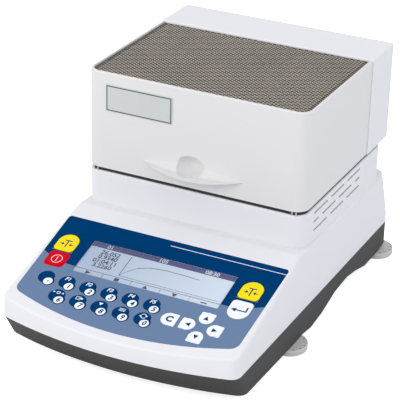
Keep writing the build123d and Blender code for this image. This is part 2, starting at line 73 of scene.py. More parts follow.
def finish(name, color, rough, metal=0.0, grain=0.0, grain_scale=900.0, mottle=0.05, coat=0.0, shine=0.5):
    """A node material with a fine grain in roughness and, if asked, in bump. Its colour is broadly
    mottled; where the colour is None, the caller links its own."""
    mat = bpy.data.materials.new(name)
    mat.use_nodes = True
    tree = mat.node_tree
    shader = tree.nodes["Principled BSDF"]
    shader.inputs["Metallic"].default_value = metal
    shader.inputs["Coat Weight"].default_value = coat
    shader.inputs["Specular IOR Level"].default_value = shine
    coords = tree.nodes.new("ShaderNodeTexCoord")
    if color:
        cloud = tree.nodes.new("ShaderNodeTexNoise")
        cloud.inputs["Scale"].default_value = MOTTLE_SCALE
        cloud.inputs["Detail"].default_value = MOTTLE_DETAIL
        tree.links.new(coords.outputs["Object"], cloud.inputs["Vector"])
        tint = tree.nodes.new("ShaderNodeValToRGB")
        tint.color_ramp.elements[0].color = (*[c * (1.0 - mottle) for c in color], 1.0)
        tint.color_ramp.elements[1].color = (*[min(1.0, c * (1.0 + mottle)) for c in color], 1.0)
        tree.links.new(cloud.outputs["Fac"], tint.inputs["Fac"])
        tree.links.new(tint.outputs["Color"], shader.inputs["Base Color"])
    speck = tree.nodes.new("ShaderNodeTexNoise")
    speck.inputs["Scale"].default_value = grain_scale
    speck.inputs["Detail"].default_value = GRAIN_DETAIL
    tree.links.new(coords.outputs["Object"], speck.inputs["Vector"])
    gloss = tree.nodes.new("ShaderNodeMapRange")
    gloss.inputs["To Min"].default_value = max(0.02, rough - GLOSS_SPREAD)
    gloss.inputs["To Max"].default_value = min(1.0, rough + GLOSS_SPREAD)
    tree.links.new(speck.outputs["Fac"], gloss.inputs["Value"])
    tree.links.new(gloss.outputs["Result"], shader.inputs["Roughness"])
    if grain:
        bump = tree.nodes.new("ShaderNodeBump")
        bump.inputs["Strength"].default_value = grain
        bump.inputs["Distance"].default_value = GRAIN_DEPTH
        tree.links.new(speck.outputs["Fac"], bump.inputs["Height"])
        tree.links.new(bump.outputs["Normal"], shader.inputs["Normal"])
    return mat


def wear(mat, *names):
    """Gives a finish to the CAD nodes of those names."""
    for name in names:
        nodes[name].data.materials.clear()
        nodes[name].data.materials.append(mat)


def piece(name, mesh, mat, body):
    """A new piece from a finished mesh, riding on its body."""
    mesh.name = name
    mesh.materials.clear()
    mesh.materials.append(mat)
    ob = bpy.data.objects.new(name, mesh)
    scene_objects.link(ob)
    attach(ob, body)
    return ob


charcoal = finish("charcoal_moulding", (0.040, 0.0395, 0.039), 0.55, grain=0.4, mottle=0.07, shine=0.35)
wear(charcoal, "lower_housing")

# Levelling feet: pale grey knurled wheels moulded onto their screws, each turning on a black
# rubber pad that grips the bench.
WHEEL_T, WHEEL_SOLE, WHEEL_BEVEL, WHEEL_SIDES = 5.5, 1.6, 0.4, 64
SLOTS, SLOT_IN, SLOT_OUT, SLOT_HALF, SLOT_SHADE_T = 14, 12.0, 15.3, 1.05, 0.2
STUD_R, STUD_SINK, STUD_SIDES = 3.0, 1.0, 24


def curve_shape(loops):
    """A filled flat curve from closed loops in millimetres; a loop inside another is a hole."""
    data = bpy.data.curves.new("flat", "CURVE")
    data.dimensions = "2D"
    data.fill_mode = "BOTH"
    for loop in loops:
        line = data.splines.new("POLY")
        line.points.add(len(loop) - 1)
        for point, (x, y) in zip(line.points, loop):
            point.co = (x * MM, y * MM, 0, 1)
        line.use_cyclic_u = True
    return data


def mesh_from(data):
    """The mesh of a curve or a text."""
    flat = bpy.data.objects.new("flat", data)
    scene_objects.link(flat)
    mesh = bpy.data.meshes.new_from_object(flat)
    bpy.data.objects.remove(flat)
    return mesh


def mesh_of(form):
    """The mesh of a bmesh, which is freed."""
    mesh = bpy.data.meshes.new("form")
    form.to_mesh(mesh)
    form.free()
    return mesh


def block(u0, u1, v0, v1):
    return [(u0, v0), (u1, v0), (u1, v1), (u0, v1)]


def disc(r, x=0.0, y=0.0, a0=0.0, a1=360.0, steps=40):
    """Points on a circle or an arc, in millimetres."""
    last = 0 if abs(a1 - a0) >= 360 else 1
    turn = [math.radians(a0 + (a1 - a0) * k / steps) for k in range(steps + last)]
    return [(x + r * math.cos(a), y + r * math.sin(a)) for a in turn]


def turned(loop, angle, size=1.0, du=0.0, dv=0.0):
    """A loop scaled, turned about its origin and shifted."""
    c, s = math.cos(math.radians(angle)) * size, math.sin(math.radians(angle)) * size
    return [(x * c - y * s + du, x * s + y * c + dv) for x, y in loop]


def round_box(x, y0, y1, r, rear):
    """A rectangle in plan, even about the middle, with round front and rear corners, in millimetres."""
    return (disc(rear, x - rear, y1 - rear, 0, 90, 8) + disc(rear, rear - x, y1 - rear, 90, 180, 8)
            + disc(r, r - x, y0 + r, 180, 270, 8) + disc(r, x - r, y0 + r, 270, 360, 8))


def slab(loops, z0, z1, bevel=0.0):
    """The mesh of an upright plate between two heights, from closed loops in plan, in millimetres."""
    data = curve_shape(loops)
    data.extrude = ((z1 - z0) / 2 - bevel) * MM
    data.bevel_depth = bevel * MM
    data.bevel_resolution = 1
    mesh = mesh_from(data)
    mesh.transform(Matrix.Translation((0, 0, (z0 + z1) / 2 * MM)))
    return mesh


foot_grey = finish("foot_moulding", (0.58, 0.57, 0.56), 0.42, grain=0.2, mottle=0.04)
rubber_and_shade_black = finish("foot_rubber_and_painted_shade", (0.02, 0.02, 0.02), 0.75, grain=0.4, grain_scale=600.0)
slots = [turned(block(SLOT_IN, SLOT_OUT, -SLOT_HALF, SLOT_HALF), 360 / SLOTS * k) for k in range(SLOTS)]
for corner in ("front_left", "front_right", "rear_left", "rear_right"):
    wear(rubber_and_shade_black, "foot_pad_" + corner)
    node = "foot_wheel_" + corner
    wheel_low, wheel_high = [Vector(c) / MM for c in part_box(node)]
    middle = (wheel_low + wheel_high) / 2
    sole_top, wheel_top = wheel_low.z + WHEEL_SOLE, wheel_low.z + WHEEL_T
    rim = disc((wheel_high.x - wheel_low.x) / 2 - WHEEL_BEVEL, steps=WHEEL_SIDES)
    wheel = bmesh.new()
    wheel.from_mesh(slab([rim] + slots, sole_top, wheel_top, WHEEL_BEVEL))
    wheel.from_mesh(slab([rim], wheel_low.z, sole_top, WHEEL_BEVEL))
    wheel.from_mesh(slab([disc(STUD_R, steps=STUD_SIDES)], wheel_top - STUD_SINK, wheel_high.z))
    wheel_mesh = mesh_of(wheel)
    wheel_mesh.transform(Matrix.Translation((middle.x * MM, middle.y * MM, 0)))
    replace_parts(piece("slotted_wheel_" + corner, wheel_mesh, foot_grey, node), node)
    # The black layer on each slot's bottom is painted shade: the slots' depths would lie in shadow.
    slot_shade_loops = [[(x + middle.x, y + middle.y) for x, y in slot] for slot in slots]
    piece("slot_floor_" + corner, slab(slot_shade_loops, sole_top, sole_top + SLOT_SHADE_T), rubber_and_shade_black, node)

# Electronics: green circuit boards screwed down inside the tray and under the deck. The black moulded
# sockets and the rocker in its frame are fixed in the rear wall.
board_green = finish("board_lacquer", (0.02, 0.16, 0.07), 0.4, mottle=0.15)
socket_black = finish("socket_moulding", (0.015, 0.015, 0.016), 0.4, grain=0.3)
wear(board_green, "main_board", "power_supply", "keypad_circuit")
wear(socket_black, "power_inlet", "serial_socket", "switch_frame", "power_rocker")

# Load cell: a milled aluminium beam screwed to its foot. A steel spindle stands on it and carries the
# pan support.
cast_alloy = finish("milled_aluminium", (0.66, 0.66, 0.68), 0.4, metal=1.0, grain=0.3, grain_scale=500.0)
steel = finish("sheet_steel", (0.56, 0.56, 0.57), 0.3, metal=1.0, grain=0.2, grain_scale=300.0)
wear(cast_alloy, "load_cell", "load_cell_bracket")
wear(steel, "pan_spindle", "pan_support")

# Upper housing: one white plastic moulding with the sloped deck, the side shoulders and the riser with
# its slots. It is screwed to the tray from below.
white = finish("white_moulding", (0.745, 0.748, 0.780), 0.42, grain=0.2, mottle=0.015, shine=0.4)
wear(white, "upper_housing")

# Keypad film: a printed sheet stuck into the deck's recess, dark blue round the display and light blue
# below it. The border between the two rises in a soft curve at each side of the display.
DECK_TILT, DECK_TOP_Y, DECK_TOP_Z = math.radians(15.46), -52.0 * MM, 78.8 * MM
DECK = Matrix.Translation((0, DECK_TOP_Y, DECK_TOP_Z)) @ Matrix.Rotation(DECK_TILT, 4, "X")
SPLIT_V, SPLIT_RISE, SPLIT_FROM, SPLIT_TO = -56.0 * MM, 9.8 * MM, 69.0 * MM, 103.0 * MM
SPLIT_SHARP = 5000.0
LIGHT_BLUE, DARK_BLUE = (0.134, 0.206, 0.342), (0.000, 0.0405, 0.146)
THIN_LINE, THIN_LINE_V, PRINT_T = block(-2.7, 102.9, -0.3, 0.3), -6.2, 0.05


def film_print():
    """The film's material: two blues that meet along the curved border."""
    mat = finish("keypad_film", None, 0.5, shine=0.0)
    tree = mat.node_tree
    split = tree.nodes.new("ShaderNodeSeparateXYZ")
    tree.links.new(tree.nodes["Texture Coordinate"].outputs["Object"], split.inputs[0])

    def calc(op, a, b=None):
        step = tree.nodes.new("ShaderNodeMath")
        step.operation = op
        for socket, value in zip(step.inputs, (a, b)):
            if isinstance(value, (int, float)):
                socket.default_value = value
            elif value is not None:
                tree.links.new(value, socket)
        return step.outputs[0]

    beside = calc("MAXIMUM", calc("SUBTRACT", calc("ABSOLUTE", split.outputs["X"]), SPLIT_FROM), 0.0)
    rise = calc("MULTIPLY", calc("MULTIPLY", beside, beside), SPLIT_RISE / (SPLIT_TO - SPLIT_FROM) ** 2)
    v = calc("MULTIPLY", calc("SUBTRACT", split.outputs["Y"], DECK_TOP_Y), 1 / math.cos(DECK_TILT))
    above = calc("MULTIPLY", calc("SUBTRACT", calc("SUBTRACT", v, SPLIT_V), rise), SPLIT_SHARP)
    mix = tree.nodes.new("ShaderNodeMix")
    mix.data_type = "RGBA"
    mix.inputs[6].default_value = (*LIGHT_BLUE, 1.0)
    mix.inputs[7].default_value = (*DARK_BLUE, 1.0)
    tree.links.new(above, mix.inputs[0])
    tree.links.new(mix.outputs[2], tree.nodes["Principled BSDF"].inputs["Base Color"])
    return mat


def printed(name, data, u, v, n, mat, body, slot, thick=PRINT_T):
    """A flat curve or text as a thin print on the deck: u across, v up the slope, n out of it, in mm."""
    data.extrude = thick * MM / 2
    mesh = mesh_from(data)
    mesh.transform(DECK @ Matrix.Translation((u * MM, v * MM, (n + thick / 2) * MM)))
    return piece(name, mesh, mat, body)


white_ink = finish("white_print", (0.84, 0.87, 0.92), 0.4, mottle=0.02, shine=0.3)
wear(film_print(), "keypad_overlay")
printed("film_thin_line", curve_shape([THIN_LINE]), 0, THIN_LINE_V, 0.0, white_ink, "base", "key_white")

# Display: a pale blue liquid crystal panel under a clear sheet. It shows a header bar, read-outs,
# the drying curve on its axes and a row of soft-key signs.
OPENING = block(-69.9, 69.9, -64.4, -18.6)
LCD_N, LCD_T, LCD_PRINT_T, SHEET_N, SHEET_T, SHEET_ALPHA = -0.9, 1.0, 0.03, -0.75, 0.3, 0.03
LCD_LEFT, LCD_RIGHT, LCD_FADE = (0.36, 0.44, 0.57), (0.58, 0.66, 0.76), 60 * MM
lcd_field = finish("lcd_field", None, 0.4, shine=0.1)
lcd_ink = finish("lcd_ink", (0.03, 0.035, 0.12), 0.4, mottle=0.02, shine=0.1)
lcd_header = finish("lcd_header", (0.050, 0.050, 0.17), 0.4, mottle=0.10, shine=0.1)
clear = finish("clear_sheet", (0.9, 0.95, 1.0), 0.15, mottle=0.01, shine=0.1)
clear.node_tree.nodes["Principled BSDF"].inputs["Alpha"].default_value = SHEET_ALPHA
lcd_tree = lcd_field.node_tree
across = lcd_tree.nodes.new("ShaderNodeSeparateXYZ")
lcd_tree.links.new(lcd_tree.nodes["Texture Coordinate"].outputs["Object"], across.inputs[0])
span = lcd_tree.nodes.new("ShaderNodeMapRange")
span.inputs["From Min"].default_value = -LCD_FADE
span.inputs["From Max"].default_value = LCD_FADE
fade = lcd_tree.nodes.new("ShaderNodeMix")
fade.data_type = "RGBA"
fade.inputs[6].default_value = (*LCD_LEFT, 1.0)
fade.inputs[7].default_value = (*LCD_RIGHT, 1.0)
lcd_tree.links.new(across.outputs["X"], span.inputs["Value"])
lcd_tree.links.new(span.outputs["Result"], fade.inputs[0])
lcd_tree.links.new(fade.outputs[2], lcd_tree.nodes["Principled BSDF"].inputs["Base Color"])
wear(lcd_field, "lcd_module")
printed("lcd_picture", curve_shape([OPENING]), 0, 0, LCD_N - LCD_T, lcd_field, "base", "lcd", LCD_T)
sheet = printed("display_sheet", curve_shape([OPENING]), 0, 0, SHEET_N, clear, "base", "clear_window",
                SHEET_T)
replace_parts(sheet, "display_window")


def lcd_print(label, loops, u=0.0, v=0.0, mat=lcd_ink):
    """A flat sign in the display's picture."""
    printed("lcd_" + label, curve_shape(loops), u, v, LCD_N, mat, "base", "lcd", LCD_PRINT_T)


def glyphs(name, words, size, u, v, n, mat, body, slot, slant=0.0, bold=0.0):
    """Plain figures as a thin print."""
    data = bpy.data.curves.new("figures", "FONT")
    data.body = words
    data.size = size * MM
    data.shear = slant
    data.offset = bold * MM
    data.align_x = "CENTER"
    data.align_y = "CENTER"
    data.resolution_u = 3
    return printed(name, data, u, v, n, mat, body, slot)


lcd_print("header", [block(-66.6, 66.6, -27.4, -21.6)], mat=lcd_header)
lcd_print("soft_key_line", [block(-66.6, 66.6, -55.7, -55.2)])
lcd_print("axis_up", [block(-27.7, -27.1, -53.0, -29.0)])
lcd_print("axis_along", [block(-27.6, 63.0, -53.2, -52.85)])
CURVE_HALF = 0.3
curve_path = [(-27, -52.6), (-22.6, -46.2), (-16.8, -40.2), (-7.0, -36.0), (6.6, -34.4), (24.0, -34.6),
              (38.0, -35.4)]
upper_side = [(u, v + CURVE_HALF) for u, v in curve_path]
lower_side = [(u, v - CURVE_HALF) for u, v in reversed(curve_path)]
lcd_print("drying_curve", [upper_side + lower_side])
READ_OUT_U, READ_OUT_SIZE, READ_OUT_BOLD = -46, 6.6, 0.14
HEADER_V, HEADER_SIZE, HEADER_BOLD, HEADER_LIFT = -24.7, 5.8, 0.12, 0.04
for label, words, v in (("mass", "26.052", -32.0), ("rate", "0.9340", -37.4), ("time", "01:04:11", -42.8),
                        ("loss", "3.2260", -48.2)):
    glyphs("lcd_readout_" + label, words, READ_OUT_SIZE, READ_OUT_U, v, LCD_N, lcd_ink, "base", "lcd",
           bold=READ_OUT_BOLD)
for label, words, u in (("program", "01", -50), ("heat", "105", 0), ("clock", "08:30", 45)):
    glyphs("lcd_header_" + label, words, HEADER_SIZE, u, HEADER_V, LCD_N + HEADER_LIFT, lcd_field, "base",
           "lcd", bold=HEADER_BOLD)
SIGN_U, SIGN_V, SIGN_STEP, SIGN_SIZE, DIVIDER_U = -53.2, -58.4, 26.6, 1.25, -66.5
DIVIDER = block(-0.15, 0.15, -2.6, 2.6)
soft_signs = {"start": [(-2, -1.8), (2, 0), (-2, 1.8)], "set": block(-1.7, 1.7, -1.5, 1.5),
              "up": [(-2, -1.4), (2, -1.4), (0, 1.8)], "down": [(-2, 1.4), (0, -1.8), (2, 1.4)],
              "end": block(-2.2, 2.2, -0.5, 0.5)}
for k, (label, loop) in enumerate(soft_signs.items()):
    lcd_print("sign_" + label, [turned(loop, 0, SIGN_SIZE)], SIGN_U + SIGN_STEP * k, SIGN_V)
    if k:
        lcd_print("divider_" + label, [DIVIDER], DIVIDER_U + SIGN_STEP * k, SIGN_V)

# Figure keys: dark blue printed discs, each with a smaller white disc for its figure at the lower right.
# The upper part of a disc carries a plain sign for the key's second use.
KEY_N, ROW_A, ROW_B = 0.3, -75.6, -92.5
COLUMNS = [-83.0, -63.4, -43.7, -24.0, -4.3, 15.4]
FIGURE_DISC, FIGURE_U, FIGURE_V, POINT_LIFT = disc(4.0, 4.0, -4.6), 3.9, -4.6, 1.6
FIGURE_SIZE, FIGURE_SLANT, FIGURE_BOLD = 6.8, 0.15, 0.2
SECOND_U, SECOND_V, SECOND_SIZE, SECOND_SLANT, SECOND_BOLD = -0.6, 3.2, 5.4, 0.2, 0.1
blue_ink = finish("dark_blue_print", DARK_BLUE, 0.5, mottle=0.04, shine=0.0)
figure_keys = {"point": (COLUMNS[0], ROW_A, ".")}
figure_keys.update({f: (COLUMNS[k + 1], ROW_A, f) for k, f in enumerate("12345")})
figure_keys.update({f: (COLUMNS[k + 1], ROW_B, f) for k, f in enumerate("67890")})
for key, (u, v, figure) in figure_keys.items():
    node = "key_" + key
    lift = POINT_LIFT if figure == "." else 0
    wear(blue_ink, node)
    printed("figure_disc_" + key, curve_shape([FIGURE_DISC]), u, v, KEY_N, white_ink, node, "key_white")
    glyphs("figure_" + key, figure, FIGURE_SIZE, u + FIGURE_U, v + FIGURE_V + lift, KEY_N + PRINT_T, blue_ink,
           node, "key_blue", FIGURE_SLANT, FIGURE_BOLD)
    if figure in "12345":
        glyphs("function_" + key, "F" + figure, SECOND_SIZE, u + SECOND_U, v + SECOND_V, KEY_N, white_ink,
               node, "key_white", SECOND_SLANT, SECOND_BOLD)
second_signs = {
    "6": [disc(1.7, 0, 3.2, 90, 450, 20) + disc(1.1, 0, 3.2, 450, 90, 20),
          [(-4.8, 2.2), (-2.8, 3.2), (-4.8, 4.2)], [(4.8, 2.2), (4.8, 4.2), (2.8, 3.2)]],
    "7": [block(-3.2, -2.7, 1.75, 4.25), block(-3.2, 1.0, 4.3, 4.8), block(-3.2, 1.0, 1.2, 1.7),
          [(-0.8, 2.7), (1.4, 2.7), (1.4, 1.8), (3.6, 3.1), (1.4, 4.4), (1.4, 3.4), (-0.8, 3.4)]],
    "8": [[(-1.9, 4.6), (0, 1.6), (1.9, 4.6)]],
    "9": [block(-2.8, 2.8, 4.2, 4.7), block(-2.8, 2.8, 2.9, 3.4), block(-2.8, 2.8, 1.6, 2.1)],
    "0": [disc(2.6, 0, 2.6, 20, 150, 14) + disc(2.0, 0, 2.6, 150, 20, 14),
          disc(2.6, 0, 2.6, 200, 330, 14) + disc(2.0, 0, 2.6, 330, 200, 14),
          [(1.2, 3.6), (3.6, 3.6), (2.4, 1.9)], [(-1.2, 1.6), (-3.6, 1.6), (-2.4, 3.3)]],
}
for key, loops in second_signs.items():
    u, v, _ = figure_keys[key]
    printed("second_sign_" + key, curve_shape(loops), u, v, KEY_N, white_ink, "key_" + key, "key_white")

# Command keys: yellow zeroing keys, the red power key, and white keys for clear, enter and the arrows.
# Their signs are printed in dark blue, or in white on the red.
POWER_AT, POWER_HALF_U, POWER_HALF_V, POWER_CORNER, POWER_PAD = (-85.8, -53.4), 9.4, 9.05, 4.0, 8.92
TARE_HALF, TARE_FOOT, TARE_CORNER, TARE_OVER = 9.25, 10.25, 3.6, 0.05
ARROW_PAD, ARROW_HALF, ARROW_CORNER, POINTER_SIZE = 6.42, 6.2, 1.4, 2.2
TEE_SIDE, TEE_ARROW_V, CLEAR_SIZE, CLEAR_BOLD = 4.2, -0.6, 8.4, 0.35
yellow = finish("yellow_print", (0.94, 0.70, 0.0), 0.4, mottle=0.03, shine=0.1)
red = finish("red_print", (0.60, 0.000, 0.007), 0.4, mottle=0.03, shine=0.04)
white_key = finish("white_key_print", (0.83, 0.86, 0.92), 0.4, mottle=0.02, shine=0.3)
wear(yellow, "key_tare_left", "key_tare_right")
wear(red, "key_power")
wear(white_key, "key_enter", "key_clear", "key_left", "key_down", "key_up", "key_right")


def key_corner(r, half, corner):
    """The part of a square key's corner that lies outside its round pad, in the first quarter."""
    start = math.degrees(math.acos(half / r))
    return disc(r, 0, 0, start, 90 - start, 14) + disc(corner, half - corner, half - corner, 90, 0, 6)


power_square = round_box(POWER_HALF_U, -POWER_HALF_V, POWER_HALF_V, POWER_CORNER, POWER_CORNER)
printed("power_field", curve_shape([power_square, disc(POWER_PAD)]), *POWER_AT, 0.0, red, "base", "key_red")
for key, u, v, foot in (("tare_left", -87.0, -32.5, -1), ("tare_right", 84.4, -33.4, -1),
                        ("enter", 84.2, -57.0, 1)):
    arc = disc(TARE_CORNER, TARE_HALF - TARE_CORNER, TARE_FOOT - TARE_CORNER, 0, 90, 8)
    mask = [(TARE_HALF + TARE_OVER, TARE_FOOT + TARE_OVER)] + arc[::-1]
    masks = [[(side * x, foot * y) for x, y in mask] for side in (-1, 1)]
    printed("round_corners_" + key, curve_shape(masks), u, v, KEY_N, blue_ink, "key_" + key, "key_blue")
pointer = [(-1.0, -1.0), (1.0, 0.0), (-1.0, 1.0)]
for key, u, v, angle in (("left", 52.4, -85.6, 180), ("right", 76.0, -85.2, 0), ("up", 64.0, -74.6, 90),
                         ("down", 64.7, -96.8, 270)):
    printed("pointer_" + key, curve_shape([turned(pointer, angle, POINTER_SIZE)]), u, v, KEY_N, blue_ink,
            "key_" + key, "key_blue")
    corners = [turned(key_corner(ARROW_PAD, ARROW_HALF, ARROW_CORNER), q) for q in (angle, angle - 90)]
    printed("key_corners_" + key, curve_shape(corners), u, v, 0.0, white_key, "base", "key_white")
small_arrow = [(-2.0, -0.4), (0.0, -0.4), (-0.2, -1.9), (2.2, 0.0), (-0.2, 1.9), (0.0, 0.4), (-2.0, 0.4)]
tee = [(-0.55, -4.4), (0.55, -4.4), (0.55, 3.4), (3.4, 3.4), (3.4, 4.5), (-3.4, 4.5), (-3.4, 3.4),
       (-0.55, 3.4)]
tee_loops = [tee, turned(small_arrow, 0, 1.0, -TEE_SIDE, TEE_ARROW_V),
             turned(small_arrow, 180, 1.0, TEE_SIDE, TEE_ARROW_V)]
for key, u, v in (("tare_left", -87.0, -34.0), ("tare_right", 84.4, -34.9)):
    printed("zero_sign_" + key, curve_shape(tee_loops), u, v, KEY_N, blue_ink, "key_" + key, "key_blue")
power_loops = [disc(4.9), disc(4.4), block(-0.3, 0.3, -2.7, 2.7)]
printed("power_sign", curve_shape(power_loops), *POWER_AT, KEY_N, white_ink, "key_power", "key_white")
return_arrow = [(-6.8, -2.6), (-2.8, -0.4), (-2.8, -2.0), (5.3, -2.0), (5.3, 2.6), (6.6, 2.6), (6.6, -3.2),
                (-2.8, -3.2), (-2.8, -4.8)]
printed("enter_sign", curve_shape([return_arrow]), 84.2, -55.0, KEY_N, blue_ink, "key_enter", "key_blue")
glyphs("clear_sign", "C", CLEAR_SIZE, 36.2, -85.6, KEY_N, blue_ink, "key_clear", "key_blue", bold=CLEAR_BOLD)

# Drying chamber in the riser: a pressed steel dish with a draught ring, a small level, and the
# aluminium sample pan resting on its support with the lifting fork round it.
DISH_FRONT = -20.0 * MM
level_green = finish("level_vial", (0.35, 0.62, 0.12), 0.12, mottle=0.05, coat=0.5)
dish = bmesh.new()
dish.from_mesh(nodes["chamber_floor"].data)
cut = bmesh.ops.bisect_plane(dish, geom=dish.verts[:] + dish.edges[:] + dish.faces[:],
                             plane_co=(0, DISH_FRONT, 0), plane_no=(0, -1, 0), clear_outer=True)
cut_edges = [e for e in cut["geom_cut"] if isinstance(e, bmesh.types.BMEdge)]
bmesh.ops.contextual_create(dish, geom=cut_edges)
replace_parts(piece("trimmed_dish", mesh_of(dish), steel, "base"), "chamber_floor")
wear(steel, "heat_shield_ring", "pan_gripper")
wear(cast_alloy, "sample_pan")
wear(level_green, "bubble_level")

# Riser strip: a black strip along the riser's top edge, just inside the hood's walls, is painted shade.
# It makes the slit under the hood read dark without touching the hood.
SHADE_STRIP_IN, SHADE_STRIP_W, SHADE_STRIP_LOW, SHADE_STRIP_HIGH, SHADE_STRIP_BACK, SHADE_STRIP_R = 1.9, 2.2, 113.9, 117.2, 145.0, 10.0
HOOD_HALF, HOOD_FACE = (Vector(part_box("hood_shell")[1]) / MM).x, -25.8
shade_strip_loops = []
for w in (0, SHADE_STRIP_W):
    shade_strip_half, shade_strip_front = HOOD_HALF - SHADE_STRIP_IN - w, HOOD_FACE + SHADE_STRIP_IN + w
    shade_strip_loops.append(round_box(shade_strip_half, shade_strip_front, SHADE_STRIP_BACK - w, SHADE_STRIP_R - w, SHADE_STRIP_R - w))
piece("riser_seal", slab(shade_strip_loops, SHADE_STRIP_LOW, SHADE_STRIP_HIGH), rubber_and_shade_black, "base")

# Hinge: pressed steel ears screwed to the riser's rear wall, with fixed pins that the hood's lugs
# turn on.
wear(steel, "hinge_brackets")

# Hood front shell: a warm grey-white moulding with the crescent lip and its finger scoop.
# It comes down on steel stops, with two slim posts at each front corner.
HANDLE_HALF, HANDLE_OUT, HANDLE_LOW, HANDLE_LIFT, HANDLE_CREST = 46.6, 12.6, 128.9, 4.3, 4.9
HANDLE_STEPS, HANDLE_BACK, HANDLE_SAG, HANDLE_RIM, HANDLE_TIP = 36, 1.5, 0.9, 1.1, 0.004
SCOOP_X, SCOOP_Z, SCOOP_OUT, SCOOP_SIZE = -1.5, 138.6, 5.0, (13.5, 12.5, 8.6)
BACKING_IN, BACKING_SIZE, SHARP_ANGLE = 5.5, (38.0, 8.0, 30.0), math.radians(28)
POST_R, POST_SIDES, POST_Y, POST_INSETS = 0.7, 16, HOOD_FACE + 1.0, (7.5, 11.0)
POST_LOW, POST_HIGH = 114.1, 117.9
hood_grey = finish("hood_moulding", (0.70, 0.695, 0.70), 0.42, grain=0.2, mottle=0.015, shine=0.4)
post_steel = finish("turned_steel", (0.62, 0.60, 0.55), 0.2, metal=1.0, grain_scale=300.0)


def band(form, rings):
    """Quads between each closed ring of vertices and the next."""
    for a, b in zip(rings, rings[1:]):
        for k in range(len(a)):
            j = (k + 1) % len(a)
            form.faces.new([a[k], a[j], b[j], b[k]])


def at_scoop(y, size):
    """Stretches a unit form and sets it at the scoop, at a depth along Y, in millimetres."""
    place = Matrix.Translation((SCOOP_X * MM, y * MM, SCOOP_Z * MM))
    return place @ Matrix.Diagonal((*[s * MM for s in size], 1))


grip = bmesh.new()
grip_rings = []
for k in range(HANDLE_STEPS + 1):
    x = -HANDLE_HALF + 2 * HANDLE_HALF * k / HANDLE_STEPS
    swell = max(HANDLE_TIP, 1 - (x / HANDLE_HALF) ** 2)
    out, under = HANDLE_OUT * swell, HANDLE_LOW + HANDLE_LIFT * (1 - swell)
    rim, crest = under + HANDLE_RIM * swell, HANDLE_LOW + HANDLE_LIFT + HANDLE_CREST * swell
    profile = [(-HANDLE_BACK, under), (out, under), (out, rim)]
    profile += [(out * (1 - t), rim + (crest - rim) * t - HANDLE_SAG * swell * math.sin(math.pi * t))
                for t in (0.25, 0.5, 0.75, 1.0)]
    profile.append((-HANDLE_BACK, crest))
    grip_rings.append([grip.verts.new((x * MM, (HOOD_FACE - y) * MM, z * MM)) for y, z in profile])
band(grip, grip_rings)
grip.faces.new(grip_rings[0])
grip.faces.new(grip_rings[-1])
bmesh.ops.recalc_face_normals(grip, faces=grip.faces)
backing = bmesh.new()
bmesh.ops.create_cube(backing, size=1.0, matrix=at_scoop(HOOD_FACE + BACKING_IN, BACKING_SIZE))
bowl = bmesh.new()
bmesh.ops.create_uvsphere(bowl, u_segments=40, v_segments=24, radius=1.0,
                          matrix=at_scoop(HOOD_FACE - SCOOP_OUT, SCOOP_SIZE))
front = bpy.data.objects.new("front", nodes["hood_shell"].data.copy())
if "custom_normal" in front.data.attributes:
    front.data.attributes.remove(front.data.attributes["custom_normal"])
scene_objects.link(front)
for label, form, deed in (("grip", grip, "UNION"), ("backing", backing, "UNION"),
                          ("bowl", bowl, "DIFFERENCE")):
    tool = bpy.data.objects.new(label, mesh_of(form))
    scene_objects.link(tool)
    step = front.modifiers.new(label, "BOOLEAN")
    step.object, step.operation, step.solver = tool, deed, "EXACT"
front_mesh = bpy.data.meshes.new_from_object(front.evaluated_get(bpy.context.evaluated_depsgraph_get()))
for label in ("front", "grip", "backing", "bowl"):
    bpy.data.objects.remove(bpy.data.objects[label])
front_mesh.polygons.foreach_set("use_smooth", [True] * len(front_mesh.polygons))
front_mesh.set_sharp_from_angle(angle=SHARP_ANGLE)
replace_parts(piece("hood_front", front_mesh, hood_grey, "hood"), "hood_shell")
for side, label in ((-1, "left"), (1, "right")):
    posts = [disc(POST_R, side * (HOOD_HALF - inset), POST_Y, steps=POST_SIDES) for inset in POST_INSETS]
    piece("post_pair_" + label, slab(posts, POST_LOW, POST_HIGH), post_steel, "hood")
wear(post_steel, "front_stops")

# Name plate on the hood's front: satin aluminium, cut from sheet and glued on. A thin dark border is
# printed round it.
BORDER_IN, BORDER_W, BORDER_T = 0.5 * MM, 0.9 * MM, 0.06 * MM
plate_satin = finish("plate_aluminium", (0.56, 0.59, 0.58), 0.36, metal=0.15, grain=0.08, grain_scale=700.0)
plate_ink = finish("plate_border", (0.06, 0.065, 0.07), 0.4, mottle=0.05)
wear(plate_satin, "name_plate")
plate_low, plate_high = [Vector(c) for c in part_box("name_plate")]
border = bmesh.new()
border_rings = []
for depth, inset in ((0, BORDER_IN), (BORDER_T, BORDER_IN), (BORDER_T, BORDER_IN + BORDER_W),
                     (0, BORDER_IN + BORDER_W)):
    x0, x1 = plate_low.x + inset, plate_high.x - inset
    z0, z1 = plate_low.z + inset, plate_high.z - inset
    y = plate_low.y - depth
    border_rings.append([border.verts.new(p) for p in ((x0, y, z0), (x1, y, z0), (x1, y, z1), (x0, y, z1))])
band(border, border_rings + border_rings[:1])
bmesh.ops.recalc_face_normals(border, faces=border.faces)
piece("name_plate_border", mesh_of(border), plate_ink, "hood")

